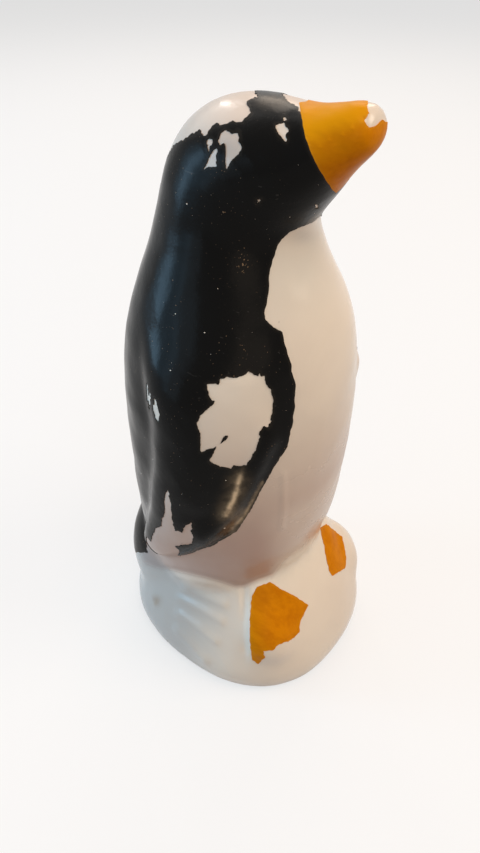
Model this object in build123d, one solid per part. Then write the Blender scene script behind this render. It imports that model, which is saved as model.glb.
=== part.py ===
"""Penguin figurine: a hollow slip-cast earthenware ornament, glazed white and cold painted.

Frame: millimetres, +Z up, the bird faces -Y, its right side is -X.
Origin: centre of the flat foot, on the surface that the figurine stands on.
"""

import os
from math import cos, pi, sin

from build123d import *

# Casting
FIGURE_HEIGHT = 143.0
BODY_DEPTH = 52.0
BODY_WIDTH = 52.5
MOUND_DEPTH = 64.0
FIGURE_SETBACK = 0.8
MOUND_WIDTH = 59.0
MOUND_HEIGHT = 33.0
TAIL_WIDTH = 47.0
WING_RELIEF = 4.0
FOOT_WIDTH = 19.0
FOOT_LENGTH = 24.0
FOOT_DEPTH = 16.0
FOOT_RELIEF = 0.8
CLAY_WALL = 4.5
CLAY_FLOOR = 5.0
POUR_HOLE_RADIUS = 6.0
# Angles of the feet: down the mound's slope, and outwards
FOOT_PITCH = 55.0
FOOT_SPLAY = 12.0

# Coats, from the clay outwards
GLAZE_THICKNESS = 0.4
PAINT_THICKNESS = 0.2
BARE_CLAY_BAND = 1.6

# One overrun serves every cut
OVERRUN = 10.0

# Cross-sections from the foot of the body to the tip of the beak: front y, front z, back y, back z and
# half width. The y values are shares of the body's depth, the z values of its height, the last of its width.
FIGURE_SHARES = (
    (-0.290, 0.084, 0.490, 0.084, 0.400),
    (-0.327, 0.175, 0.519, 0.175, 0.434),
    (-0.371, 0.245, 0.535, 0.245, 0.469),
    (-0.415, 0.322, 0.542, 0.322, 0.491),
    (-0.442, 0.427, 0.550, 0.427, 0.500),
    (-0.450, 0.545, 0.554, 0.545, 0.495),
    (-0.430, 0.650, 0.532, 0.650, 0.466),
    (-0.366, 0.734, 0.463, 0.745, 0.398),
    (-0.272, 0.794, 0.392, 0.811, 0.324),
    (-0.227, 0.832, 0.336, 0.883, 0.286),
    (-0.237, 0.857, 0.249, 0.949, 0.267),
    (-0.278, 0.881, 0.088, 0.985, 0.239),
    (-0.323, 0.906, -0.122, 0.990, 0.190),
    (-0.423, 0.952, -0.387, 1.002, 0.090),
    (-0.452, 0.971, -0.434, 0.997, 0.045),
)
# Level slices of the wing from its tip to its shoulder: height, front y and back y, then how far its face
# stands off the flank along the slice, as shares of height, body depth and wing relief
WING_ALONG_SHARES = (0.0, 0.12, 0.3, 0.55, 0.8, 1.0)
WING_SECTION_SHARES = (
    (0.270, 0.160, 0.250, -0.25, 0.15, 0.25, 0.30, 0.20, -0.25),
    (0.308, 0.030, 0.240, -0.25, 0.60, 0.80, 0.85, 0.65, -0.25),
    (0.364, -0.123, 0.202, -0.25, 0.60, 0.92, 1.00, 0.75, -0.25),
    (0.434, -0.237, 0.154, -0.25, 0.50, 0.85, 1.00, 0.75, -0.25),
    (0.503, -0.323, 0.131, -0.25, 0.15, 0.55, 0.95, 0.70, -0.25),
    (0.573, -0.375, 0.125, -0.25, 0.10, 0.45, 0.85, 0.65, -0.25),
    (0.643, -0.369, 0.173, -0.25, 0.08, 0.35, 0.65, 0.50, -0.25),
    (0.706, -0.317, 0.240, -0.25, 0.00, 0.20, 0.30, 0.20, -0.25),
    (0.755, -0.212, 0.173, -0.30, -0.30, -0.30, -0.30, -0.30, -0.30),
)
# The last cross-section that the hollow reaches
HOLLOW_LAST_SECTION = 11

# Rings of the mound: height and size, as shares of the mound's height and plan
MOUND_RING_SHARES = (
    (0.00, 0.950),
    (0.06, 0.985),
    (0.19, 1.000),
    (0.37, 0.960),
    (0.55, 0.890),
    (0.73, 0.800),
    (0.88, 0.705),
    (1.00, 0.600),
)
MOUND_WIDEST_RING = 2
# Middle of the right foot, as shares of half the mound's width and depth
FOOT_MIDDLE_SHARES = (-0.46, -0.72)
# Rings of the tail: height, front y, back y and width, as shares of height, body depth and tail width
TAIL_RING_SHARES = (
    (0.056, 0.000, 0.480, 0.80),
    (0.098, -0.060, 0.595, 0.98),
    (0.140, -0.075, 0.615, 1.00),
    (0.189, -0.060, 0.605, 0.96),
    (0.259, -0.020, 0.545, 0.80),
    (0.329, 0.020, 0.470, 0.60),
)
PLAN_POWER = 2.35
RING_POINTS = 16

# Edges seen from the side, as shares of the body's depth and of the height. In front of and below the first
# is white, and in front of the second is the beak's orange.
BIB_EDGE_SHARES = (
    (-0.225, 0.853),
    (-0.197, 0.838),
    (-0.206, 0.806),
    (-0.229, 0.770),
    (-0.292, 0.744),
    (-0.344, 0.703),
    (-0.383, 0.620),
    (-0.344, 0.533),
    (-0.244, 0.404),
    (-0.150, 0.352),
    (0.004, 0.301),
    (0.160, 0.262),
    (0.320, 0.205),
    (0.480, 0.145),
    (0.700, 0.115),
)
BEAK_EDGE_SHARES = (
    (-0.120, 1.040),
    (-0.160, 0.997),
    (-0.258, 0.983),
    (-0.310, 0.964),
    (-0.338, 0.943),
    (-0.332, 0.911),
    (-0.290, 0.870),
)

# Chips in the paint of the bird's right side, seen from the side
WING_CHIP_SHARES = (
    (-0.138, 0.685),
    (-0.192, 0.695),
    (-0.244, 0.700),
    (-0.290, 0.692),
    (-0.325, 0.658),
    (-0.327, 0.617),
    (-0.310, 0.590),
    (-0.283, 0.555),
    (-0.213, 0.559),
    (-0.156, 0.585),
    (-0.137, 0.629),
    (-0.171, 0.662),
)
WING_TIP_CHIP_SHARES = (
    (-0.017, 0.494),
    (0.010, 0.431),
    (0.079, 0.383),
    (0.150, 0.336),
    (0.115, 0.305),
    (-0.031, 0.364),
    (-0.104, 0.381),
    (-0.119, 0.441),
    (-0.073, 0.411),
    (-0.038, 0.422),
    (-0.033, 0.476),
)
TEMPLE_CHIP_SHARES = (
    (-0.023, 0.964),
    (-0.067, 0.969),
    (-0.104, 0.955),
    (-0.096, 0.940),
    (-0.056, 0.934),
    (-0.031, 0.950),
)
CHEEK_CHIP_SHARES = (
    (0.015, 0.945),
    (-0.014, 0.948),
    (-0.028, 0.934),
    (0.004, 0.930),
)
BROW_CHIP_SHARES = (
    (-0.183, 0.978),
    (-0.217, 0.980),
    (-0.238, 0.970),
    (-0.221, 0.967),
)
BEAK_TIP_CHIP_SHARES = (
    (-0.390, 1.020),
    (-0.400, 0.990),
    (-0.440, 0.984),
    (-0.500, 0.986),
    (-0.500, 1.020),
)
# Islands of paint left standing in the wing's and the temple's chips
WING_FLAKE_SHARES = (
    (-0.205, 0.598),
    (-0.219, 0.615),
    (-0.236, 0.616),
    (-0.222, 0.600),
)
TEMPLE_FLAKE_SHARES = (
    (-0.050, 0.962),
    (-0.060, 0.963),
    (-0.072, 0.943),
    (-0.062, 0.942),
)

# The bare patch on the crown, seen from above, as shares of the body's width and depth
CROWN_CHIP_SHARES = (
    (-0.187, 0.098),
    (-0.170, -0.023),
    (-0.114, -0.040),
    (-0.020, -0.030),
    (0.076, 0.020),
    (0.105, 0.135),
    (0.057, 0.250),
    (-0.038, 0.317),
    (-0.143, 0.270),
)
# The crown's patch ends at this share of the height
CROWN_CHIP_FLOOR_SHARE = 0.86

# Each foot's paint, seen from above, as shares of half the mound's width and depth
RIGHT_FOOT_PAINT_SHARES = (
    (-0.475, -0.530),
    (-0.640, -0.470),
    (-0.690, -0.490),
    (-0.730, -0.520),
    (-0.756, -0.630),
    (-0.576, -0.720),
    (-0.390, -0.800),
    (-0.280, -0.800),
    (-0.430, -0.610),
)
LEFT_FOOT_PAINT_SHARES = (
    (0.295, -0.545),
    (0.400, -0.545),
    (0.515, -0.670),
    (0.510, -0.745),
    (0.480, -0.763),
    (0.230, -0.755),
    (0.217, -0.725),
)


def side_points(shares):
    """Points in the plane of symmetry from shares of the body's depth and the figure's height."""
    return [(0, FIGURE_SETBACK + y * BODY_DEPTH, z * FIGURE_HEIGHT) for y, z in shares]


def plan_points(shares, half_width, half_depth, middle_y):
    """Points on the ground from shares of a half width and a half depth about a middle."""
    return [(x * half_width, middle_y + y * half_depth, 0) for x, y in shares]


def oval_ring(z, front, back, half_width):
    """A level superellipse, fuller at its corners than an ellipse."""
    middle = (front + back) / 2
    half_depth = (back - front) / 2
    points = []
    for step in range(RING_POINTS):
        turn = 2 * pi * step / RING_POINTS
        reach_x = abs(cos(turn)) ** (2 / PLAN_POWER) * (1 if cos(turn) >= 0 else -1)
        reach_y = abs(sin(turn)) ** (2 / PLAN_POWER) * (1 if sin(turn) >= 0 else -1)
        points.append((half_width * reach_x, middle + half_depth * reach_y, z))
    return make_face(Spline(*points, periodic=True))


def figure_section(row, grow):
    """One elliptical cross-section of the figure, grown outwards by grow."""
    front_y, front_z, back_y, back_z, half_share = row
    front = Vector(0, front_y * BODY_DEPTH, front_z * FIGURE_HEIGHT)
    back = Vector(0, back_y * BODY_DEPTH, back_z * FIGURE_HEIGHT)
    along = back - front
    plane = Plane(origin=(front + back) / 2, x_dir=(1, 0, 0), z_dir=(0, -along.Z, along.Y))
    return plane * Ellipse(half_share * BODY_WIDTH + grow, along.length / 2 + grow)


def figure(grow):
    """Body, neck, head and beak in one smooth skin."""
    sections = [figure_section(row, grow) for row in FIGURE_SHARES]
    tip = sections[-1].faces()[0]
    sections[-1] = Pos(*(tip.normal_at() * grow)) * sections[-1]
    return loft(sections)


def mound(grow):
    """The rounded mound that the bird stands on, grown outwards and upwards by grow."""
    rings = []
    for z_share, size_share in MOUND_RING_SHARES:
        half_depth = size_share * MOUND_DEPTH / 2 + grow
        half_width = size_share * MOUND_WIDTH / 2 + grow
        rings.append(oval_ring(z_share * MOUND_HEIGHT + grow, -half_depth, half_depth, half_width))
    return loft(rings)


def tail(grow):
    """The short flared tail, low on the back."""
    rings = []
    for z_share, front, back, width_share in TAIL_RING_SHARES:
        front_y = front * BODY_DEPTH - grow
        back_y = back * BODY_DEPTH + grow
        half_width = width_share * TAIL_WIDTH / 2 + grow
        rings.append(oval_ring(z_share * FIGURE_HEIGHT, front_y, back_y, half_width))
    return loft(rings)


def level_section(z):
    """Middle y, half depth and half width of the body at a height, read between its cross-sections."""
    rows = []
    for front_y, front_z, back_y, back_z, half_share in FIGURE_SHARES:
        height = (front_z + back_z) / 2 * FIGURE_HEIGHT
        rows.append((height, front_y * BODY_DEPTH, back_y * BODY_DEPTH, half_share * BODY_WIDTH))
    for low, high in zip(rows, rows[1:]):
        if low[0] <= z <= high[0]:
            t = (z - low[0]) / (high[0] - low[0])
            front, back, half_width = (a + (b - a) * t for a, b in zip(low[1:], high[1:]))
            return (front + back) / 2, (back - front) / 2, half_width
    raise ValueError("no cross-section at that height")


def wing_section(row, grow, z):
    """One level slice of the right wing: a bowed outer edge, closed inside the body."""
    middle, half_depth, half_width = level_section(row[0] * FIGURE_HEIGHT)
    front = row[1] * BODY_DEPTH - grow
    back = row[2] * BODY_DEPTH + grow
    bow = []
    for along_share, relief_share in zip(WING_ALONG_SHARES, row[3:]):
        y = front + (back - front) * along_share
        lean = (y - middle) / half_depth
        x = half_width * (1 - lean ** 2) ** 0.5
        normal = Vector(x / half_width ** 2, lean / half_depth, 0).normalized()
        bow.append(Vector(x, y, z) + normal * (relief_share * WING_RELIEF + grow))
    edge = Spline(*[Vector(-p.X, p.Y, p.Z) for p in bow])
    return make_face([edge, Line(edge @ 1, edge @ 0)])


def wings(grow):
    """Both wings, held flat to the flanks and proud of them."""
    sections = []
    for number, row in enumerate(WING_SECTION_SHARES):
        z = row[0] * FIGURE_HEIGHT - (grow if number == 0 else 0)
        sections.append(wing_section(row, grow, z))
    right = loft(sections)
    return right + mirror(right, Plane.YZ)


def mound_height(x_share, y_share):
    """Height of the mound's surface over a place given in shares of its half width and half depth."""
    size = (abs(x_share) ** PLAN_POWER + abs(y_share) ** PLAN_POWER) ** (1 / PLAN_POWER)
    rings = MOUND_RING_SHARES[MOUND_WIDEST_RING:]
    for (low_z, low_size), (high_z, high_size) in zip(rings, rings[1:]):
        if high_size <= size <= low_size:
            t = (low_size - size) / (low_size - high_size)
            return (low_z + (high_z - low_z) * t) * MOUND_HEIGHT
    return MOUND_HEIGHT


def feet(grow):
    """Both feet: low swellings that lie down the slope of the mound, sunk in it but for their tops."""
    x_share, y_share = FOOT_MIDDLE_SHARES
    middle = Pos(x_share * MOUND_WIDTH / 2, y_share * MOUND_DEPTH / 2, mound_height(x_share, y_share))
    size = (FOOT_WIDTH / 2 + grow, FOOT_LENGTH / 2 + grow, FOOT_DEPTH / 2 + grow)
    sunk = Pos(0, 0, FOOT_RELIEF - FOOT_DEPTH / 2)
    right = middle * Rot(FOOT_PITCH, 0, -FOOT_SPLAY) * sunk * scale(Sphere(1), size)
    return right + mirror(right, Plane.YZ)


def outer(grow):
    """The whole casting without its hollow, grown outwards by grow."""
    bird = figure(grow) + tail(grow) + wings(grow)
    return mound(grow) + feet(grow) + Pos(0, FIGURE_SETBACK, 0) * bird


def slab(z_from, z_to):
    """Everything between two levels."""
    reach = 2 * (MOUND_DEPTH + MOUND_WIDTH + BODY_DEPTH + BODY_WIDTH)
    return Pos(0, 0, (z_from + z_to) / 2) * Box(reach, reach, z_to - z_from)


def hollow():
    """The space that the drained slip leaves, with the pour hole through the floor."""
    rows = FIGURE_SHARES[:HOLLOW_LAST_SECTION + 1]
    inside_bird = Pos(0, FIGURE_SETBACK, 0) * loft([figure_section(row, -CLAY_WALL) for row in rows])
    inside = (inside_bird + mound(-CLAY_WALL)) & slab(CLAY_FLOOR, FIGURE_HEIGHT)
    return inside + Cylinder(POUR_HOLE_RADIUS, 2 * (CLAY_FLOOR + OVERRUN))


def side_cut(shares):
    """A straight-edged outline seen from the side, pulled out through the bird's right side."""
    outline = make_face(Polyline(*side_points(shares), close=True))
    return extrude(outline, MOUND_WIDTH, dir=(-1, 0, 0))


def edge_cut(shares, corners):
    """All that lies on one side of a curved edge seen from the side, right through the figure."""
    edge = Spline(*side_points(shares))
    rest = Polyline(edge @ 1, *corners, edge @ 0)
    outline = Pos(-MOUND_WIDTH, 0, 0) * make_face([edge, *rest.edges()])
    return extrude(outline, 2 * MOUND_WIDTH, dir=(1, 0, 0))


def plan_cut(points, z_from, z_to):
    """A straight-edged outline seen from above, pulled along Z between two levels."""
    outline = Pos(0, 0, z_from) * make_face(Polyline(*points, close=True))
    return extrude(outline, z_to - z_from, dir=(0, 0, 1))


def white_region():
    """The bib, the belly and all below the wings and tail."""
    ahead = -MOUND_DEPTH
    top = side_points(BIB_EDGE_SHARES)[0]
    behind = side_points(BIB_EDGE_SHARES)[-1]
    corners = [(0, behind[1], -OVERRUN), (0, ahead, -OVERRUN), (0, ahead, top[2])]
    return edge_cut(BIB_EDGE_SHARES, corners)


def beak_region():
    """All that lies in front of the beak's root."""
    ahead = -MOUND_DEPTH
    points = side_points(BEAK_EDGE_SHARES)
    return edge_cut(BEAK_EDGE_SHARES, [(0, ahead, points[-1][2]), (0, ahead, points[0][2])])


def crown_chip():
    """The bare patch over the top and back of the head."""
    points = plan_points(CROWN_CHIP_SHARES, BODY_WIDTH, BODY_DEPTH, FIGURE_SETBACK)
    return plan_cut(points, CROWN_CHIP_FLOOR_SHARE * FIGURE_HEIGHT, FIGURE_HEIGHT + OVERRUN)


def foot_paint(film, shares):
    """One foot's orange paint: the film inside an outline seen from above, up to the mound's top."""
    points = plan_points(shares, MOUND_WIDTH / 2, MOUND_DEPTH / 2, 0)
    return film & plan_cut(points, BARE_CLAY_BAND, MOUND_HEIGHT)


def black_paint(film):
    """The black paint left on head, back, wings and tail."""
    paint = film - white_region() - beak_region() - crown_chip()
    for shares in (WING_CHIP_SHARES, WING_TIP_CHIP_SHARES):
        paint -= side_cut(shares)
    for shares in (TEMPLE_CHIP_SHARES, CHEEK_CHIP_SHARES, BROW_CHIP_SHARES):
        paint -= side_cut(shares)
    return paint


def main():
    clay = outer(0)
    glazed = outer(GLAZE_THICKNESS)
    painted = outer(GLAZE_THICKNESS + PAINT_THICKNESS)
    film = painted - glazed
    pieces = {
        "biscuit_body": clay - hollow(),
        "white_glaze": glazed - clay - slab(-OVERRUN, BARE_CLAY_BAND),
        "black_coat": black_paint(film),
        "black_flakes": (film & side_cut(WING_FLAKE_SHARES)) + (film & side_cut(TEMPLE_FLAKE_SHARES)),
        "beak_coat": (film & beak_region()) - side_cut(BEAK_TIP_CHIP_SHARES),
        "right_foot_coat": foot_paint(film, RIGHT_FOOT_PAINT_SHARES),
        "left_foot_coat": foot_paint(film, LEFT_FOOT_PAINT_SHARES),
    }
    os.makedirs("parts", exist_ok=True)
    for name, piece in pieces.items():
        export_step(piece, f"parts/{name}.step")


if __name__ == "__main__":
    main()
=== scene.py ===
"""Looks of the penguin figurine: glaze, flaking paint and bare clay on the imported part's own shape."""

import math

import bmesh
import bpy
import numpy as np
from bpy.props import FloatProperty, FloatVectorProperty, IntProperty, PointerProperty
from mathutils import Matrix, Vector
from mathutils.bvhtree import BVHTree


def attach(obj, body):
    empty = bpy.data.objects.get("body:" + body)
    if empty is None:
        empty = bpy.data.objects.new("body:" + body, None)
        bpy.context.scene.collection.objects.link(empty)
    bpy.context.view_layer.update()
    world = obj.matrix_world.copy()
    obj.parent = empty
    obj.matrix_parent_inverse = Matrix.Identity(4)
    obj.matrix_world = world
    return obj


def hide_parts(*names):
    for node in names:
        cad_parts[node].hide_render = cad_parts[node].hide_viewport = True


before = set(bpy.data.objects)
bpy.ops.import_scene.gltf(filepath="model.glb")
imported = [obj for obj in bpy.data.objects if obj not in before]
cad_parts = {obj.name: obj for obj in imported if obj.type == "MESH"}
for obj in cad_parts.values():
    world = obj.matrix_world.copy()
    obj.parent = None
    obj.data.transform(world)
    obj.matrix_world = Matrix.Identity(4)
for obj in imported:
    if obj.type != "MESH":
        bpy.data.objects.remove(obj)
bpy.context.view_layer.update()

bl_info = {
    "name": "Penguin Figurine",
    "version": (1, 0, 0),
    "blender": (4, 5, 0),
    "location": "View3D > Sidebar > Figurine",
    "description": "Dresses a cast earthenware penguin in glaze and flaking paint",
    "category": "Object",
}

MM = 0.001

# The photograph's frame and its camera in the part's own frame, in pixels, degrees and millimetres
FRAME_WIDTH, FRAME_HEIGHT = 480, 853
FOCAL_PIXELS = 640.0
CAMERA_PLACE = (-94.56, -69.08, 170.0)
CAMERA_LOOK, CAMERA_PITCH, CAMERA_ROLL = -52.5, 41.0, 0.6

# Edge between black paint and white glaze, in the photograph's pixels, then round below the figure
BIB_OUTLINE = (
    (319, 222), (313, 222), (300, 227), (289, 232), (282, 239), (277, 246), (272, 260), (269, 277),
    (268, 297), (264, 313), (265, 319), (273, 327), (282, 332), (285, 346), (291, 365), (295, 384),
    (295, 399), (293, 422), (287, 446), (272, 470), (253, 505), (237, 531), (213, 545), (184, 555),
    (165, 557), (150, 553), (138, 552), (110, 560), (90, 830), (470, 830), (470, 222),
)
# The same edge from the side, as y and z in millimetres, for what the photograph doesn't show
BIB_SIDE = (
    (-14.0, 121.6), (-11.1, 121.9), (-9.6, 121.2), (-9.3, 117.8), (-9.9, 115.3), (-10.8, 112.2),
    (-11.6, 108.8), (-14.4, 106.4), (-15.5, 104.0), (-17.1, 100.5), (-18.5, 95.0), (-19.1, 88.1),
    (-18.7, 82.2), (-17.1, 76.2), (-14.5, 66.2), (-11.9, 57.7), (-7.0, 51.5), (1.0, 45.0), (9.1, 41.0),
    (15.0, 34.0), (18.5, 29.0), (25.8, 22.5), (45.0, 20.0), (60.0, -20.0), (-60.0, -20.0), (-60.0, 121.6),
)
BEAK_OUTLINE = (
    (299, 102), (301, 114), (303, 125), (306, 138), (310, 150), (315, 161), (320, 170), (326, 180),
    (333, 190), (345, 205), (420, 205), (420, 60), (296, 60),
)
BEAK_SIDE = (
    (-6.0, 150.0), (-7.5, 142.3), (-12.6, 140.5), (-15.3, 137.8), (-16.6, 134.9), (-16.5, 130.2),
    (-14.5, 124.0), (-60.0, 124.0), (-60.0, 150.0),
)
# Bare places in the black paint of the bird's right side
WING_CHIP = (
    (207, 384), (219, 383), (220, 379), (227, 376.5), (233, 378), (239, 377.5), (248.5, 371.5),
    (253.5, 374), (258, 376), (259.5, 371), (260.5, 376), (264, 376.5), (266, 384), (271, 390.5),
    (273.5, 400.5), (272, 406), (273, 413), (270, 421), (268, 427), (263.5, 426.5), (259, 434),
    (258, 445.5), (253.5, 455.5), (246.5, 465), (233.5, 465), (231, 468), (220.5, 466.5),
    (208.5, 461.5), (215, 450), (218, 446.5), (216, 445), (213, 448), (201, 452), (200, 433),
    (197, 423), (200.5, 415), (210.5, 407), (214.5, 401.5), (211.5, 402.5), (208, 393),
)
WING_TIP_CHIP = (
    (168, 490), (165, 497), (164.5, 516), (162, 519), (161.5, 526), (156, 528), (152, 537), (151, 541),
    (147, 537), (146, 541), (147, 552), (150, 560), (176, 560), (180, 551), (176, 546), (192, 544),
    (193.5, 536), (191, 530), (192.5, 526), (192, 521), (185, 526), (182, 532), (176, 530),
    (174, 525), (172, 513), (170.5, 497),
)
TEMPLE_CHIP = (
    (221, 133), (226, 131), (232, 134), (239, 131), (239, 142), (241, 148), (239, 154), (236, 158),
    (231, 161), (227, 169), (225, 162), (226, 147), (224, 143), (220, 146), (219, 140),
)
CHEEK_CHIP = ((217, 149), (217, 166), (205, 168), (210, 158), (213, 152))
NAPE_CHIP = ((208, 140), (213, 139), (213, 146), (211, 147), (209, 151), (207, 148))
EYE_CHIP = ((276, 125), (283, 124), (288, 128), (287, 136), (286, 142), (282, 139), (278, 133), (275, 128))
EYE_SPECK = ((284, 115), (286, 117), (287, 120), (284, 120.5), (283, 118))
SPECKS = (
    ((257, 199), (260, 199), (260, 203), (257, 203)),
    ((315, 204), (318, 204), (318, 208), (315, 208)),
    ((147, 383), (148.5, 385), (151, 404), (150, 410), (147.5, 398)),
    ((155, 398), (157, 401), (159.5, 413), (159, 421), (155, 418), (153, 409)),
)
# Bare places that run over the top of the head
CROWN_CHIP = (
    (174, 146), (186, 138), (200, 130), (204, 136), (207, 138), (208, 133), (213, 126), (217, 122),
    (220, 126), (226, 124), (233, 122), (242, 123), (247, 118), (251, 113), (248, 105), (246, 102),
    (258, 97), (255, 93), (262, 70), (120, 70), (120, 190), (168, 156),
)
BROW_CHIP = (
    (281, 91), (283, 96), (287, 101), (291, 104), (297, 107), (301, 113), (310, 104), (306, 80), (283, 80),
)
BEAK_TIP_CHIP = (
    (368, 96), (367.5, 108), (368.5, 113), (367, 117), (363.5, 120.5), (367, 125.5), (370, 127.5),
    (375.5, 126), (379, 122.5), (382, 120), (385, 122), (395, 122), (395, 96),
)
# Bare places that the photograph doesn't show: x and z on the back, y and z on the left side, in millimetres
BACK_CHIPS = (
    ((5.2, 69.5), (7.0, 67.8), (8.6, 68.9), (9.4, 66.2), (11.0, 67.0), (11.6, 70.4), (13.1, 71.8),
     (12.5, 75.6), (13.4, 78.0), (11.2, 80.9), (9.9, 79.7), (9.0, 82.2), (7.3, 80.8), (7.9, 77.2),
     (6.0, 76.4), (6.8, 73.1)),
    ((-9.9, 42.8), (-8.0, 41.2), (-6.9, 42.6), (-5.0, 41.0), (-3.6, 43.5), (-4.2, 46.6), (-2.9, 48.2),
     (-4.6, 51.4), (-6.4, 50.3), (-7.2, 53.0), (-9.0, 51.2), (-8.6, 48.7), (-10.6, 47.0)),
)
LEFT_CHIPS = (
    ((-13.0, 87.5), (-10.8, 85.0), (-9.0, 86.3), (-7.4, 83.2), (-4.9, 85.6), (-3.8, 89.9), (-5.2, 92.4),
     (-3.2, 95.5), (-4.4, 99.4), (-7.2, 101.8), (-8.8, 99.9), (-11.6, 101.2), (-14.5, 97.0)),
    ((-1.8, 44.5), (0.2, 43.0), (1.6, 45.6), (3.2, 44.9), (4.0, 49.1), (2.8, 52.5), (4.4, 56.8), (3.4, 61.5),
     (1.9, 66.8), (0.9, 62.2), (-0.7, 60.4), (-0.2, 55.7), (-2.2, 52.3), (-0.9, 48.4)),
    ((-5.4, 132.0), (-3.4, 130.4), (-2.0, 131.9), (-0.4, 131.2), (0.6, 134.2), (-0.6, 136.8), (-2.6, 137.6),
     (-4.0, 136.0), (-5.6, 135.6)),
)
# Bare patches where the shape turns away from the camera: middle and radii, in millimetres
CROWN_PATCH = ((0.0, 4.5, 141.0), (7.5, 8.0, 12.0))
NAPE_PATCH = ((-4.0, 14.0, 132.0), (8.0, 8.0, 10.0))
BROW_PATCH = ((5.5, -4.0, 141.0), (5.0, 3.6, 5.0))
BEAK_TIP_PATCH = ((2.8, -21.3, 142.6), (3.2, 3.0, 3.2))
WING_TIP_PATCH = ((-29.0, 4.0, 45.5), (4.0, 6.0, 4.0))
# Paint left standing inside the wing's chip
WING_FLAKE = ((220.5, 443.5), (223, 438), (225, 435.5), (228.5, 435.5), (226, 439.5))
# What is left of the orange paint on the feet, and its far side on the left foot as a patch
RIGHT_FOOT = (
    (270, 582), (257, 587), (252, 596), (250, 619), (250, 641), (252, 659), (258, 664), (265, 657),
    (263, 651), (273, 650), (279, 644), (291, 640), (299, 632), (300, 622), (308, 605), (295, 596),
    (281, 589),
)
LEFT_FOOT = ((320, 528), (326, 524), (342, 537), (346, 557), (345, 568), (332, 576), (329, 571))
LEFT_FOOT_PATCH = ((14.5, -23.0, 20.0), (6.0, 5.0, 9.0))
# Heights in millimetres: the lowest of the beak's paint, the bare crown and the beak's top where it is
# painted lighter, and the highest of the feet's paint and the flakes
BEAK_FLOOR, CROWN_FLOOR, LIT_TOP_FLOOR = 118, 115, 110
FOOT_CEILING, FLAKE_CEILING = 45, 110
# Where across, in millimetres, the left foot's paint starts and the chips of the right side end
LEFT_FOOT_FROM, RIGHT_CHIPS_UP_TO = 2, 6
# On the left the white reaches further back and the beak's paint further up: how far, and over what x and z
BIB_SHIFT, BIB_SHIFT_X, BIB_SHIFT_CHEST, BIB_SHIFT_CHIN = 5.6, (2, 8), (74, 84), (117, 122)
BEAK_SHIFT, BEAK_SHIFT_X, BEAK_SHIFT_Z = 2.4, (0.5, 4), (136, 140)
# How far a back or left-hand chip's surface has to face that way
BACK_FACING, LEFT_FACING = 0.3, 0.25
# Distances in millimetres that stand for well outside a chip and well outside a coat
OUTSIDE_CHIP, OUTSIDE_COAT = -4.0, -5.0
# How squarely a surface faces the camera where the photograph starts to count, and where it counts fully
EDGE_SEEN, CHIP_SEEN, SPOT_SEEN = (0.03, 0.15), (0.02, 0.1), (0.02, 0.15)
SHEEN_SEEN, RELIEF_SEEN = (0.05, 0.2), (0.05, 0.25)
# Fixed unevenness: height and wavelength in millimetres, and the seed
CASTING_RIPPLES = ((0.05, 17.0, 1), (0.02, 6.0, 2))
CHIP_RIPPLES = ((0.08, 1.6, 3), (0.05, 0.8, 4))
EDGE_RIPPLES = ((0.05, 4.0, 5), (0.03, 1.1, 6))
FLAKE_RIPPLES = ((0.05, 1.5, 7),)
CROWN_RIPPLES = ((0.45, 5.0, 8),)

# Lines of the relief: the roll inside the wing's lower edge, the groove beside the foot, a run of glaze
# on the belly, the crease round the top of the mound and the flutes on its side
WING_ROLL = ((268, 440), (259, 460), (250, 478), (238, 500), (222, 522), (204, 537))
FOOT_GROOVE = ((243.5, 590), (244, 604), (244, 626), (245, 650))
GLAZE_RUN = ((283.5, 474), (283.5, 500), (282, 528))
MOUND_CREASE = (
    (143, 566), (165, 569), (185, 573), (205, 577.5), (222, 582), (236, 587), (246, 586), (258, 580),
    (273, 575), (284, 561), (295, 553), (306, 546), (318, 531), (321, 524),
)
BODY_TOP = ((330, 300), (100, 300))
FLUTES = (
    ((185, 587), (200, 594), (224, 604)),
    ((180, 598), (198, 607), (222, 621)),
    ((179, 613), (196, 625), (216, 641)),
    ((177, 629), (191, 644), (206, 660)),
)
# Height of each line in millimetres, and the width of its soft bank in pixels
FLUTE_WIDTH = 3.8
GROOVE_DEPTH, GROOVE_WIDTH = 0.35, 2.8
CREASE_DEPTH, CREASE_WIDTH = 0.4, 3.0
ROLL_HEIGHT, ROLL_WIDTH = 0.8, 10.0
RUN_HEIGHT, RUN_WIDTH = 0.32, 2.4
# Swell of the foot, and the pixels over which it fades in and out
FOOT_SWELL, FOOT_LEFT, FOOT_RIGHT, FOOT_TOP, FOOT_BOTTOM = 0.4, (245, 251), (280, 318), (576, 592), (650, 678)
# Heights in millimetres that bound the mound's relief, its crease, the wing's roll and the run of glaze
MOUND_RELIEF_FADE, CREASE_FADE, ROLL_FLOOR, RUN_FLOOR = (30, 36), (46, 50), 34, 40
# Smoothing of the skin: passes and strengths that round it, soften it and even its flat places
ROUND_PASSES, ROUND_PULL, ROUND_PUSH = 14, 0.5, 0.52
SOFT_PASSES, SOFT_PULL = 3, 0.4
BEND_PASSES, FLAT_PASSES, FLAT_PULL, FLAT_BEND = 8, 8, 0.5, (0.015, 0.04)
# Least height of the skin over the casting, down to a height above the table, in millimetres
CLEARANCE, CLEAR_FLOOR = 0.12, 1.0
# Stopper for the pour hole of the copied casting, in millimetres
STOPPER_RADIUS, STOPPER_HEIGHT, STOPPER_SIDES = 8.0, 2.5, 32
# The mesh is halved this near to an edge of paint, in millimetres, and where the painted highlights and the
# chin's rub reach this much
FINE_BANDS, FINE_SHEEN_WEAR = (0.4, 0.2), 0.5
# Least distance from a cut, least share of an edge at a cut, merging distance in metres, and the angle in
# degrees past which an edge is crisp
LEAST_FIELD, LEAST_SHARE, MERGE_DISTANCE, SMOOTH_ANGLE = 1e-6, 0.02, 1e-7, 50
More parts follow.
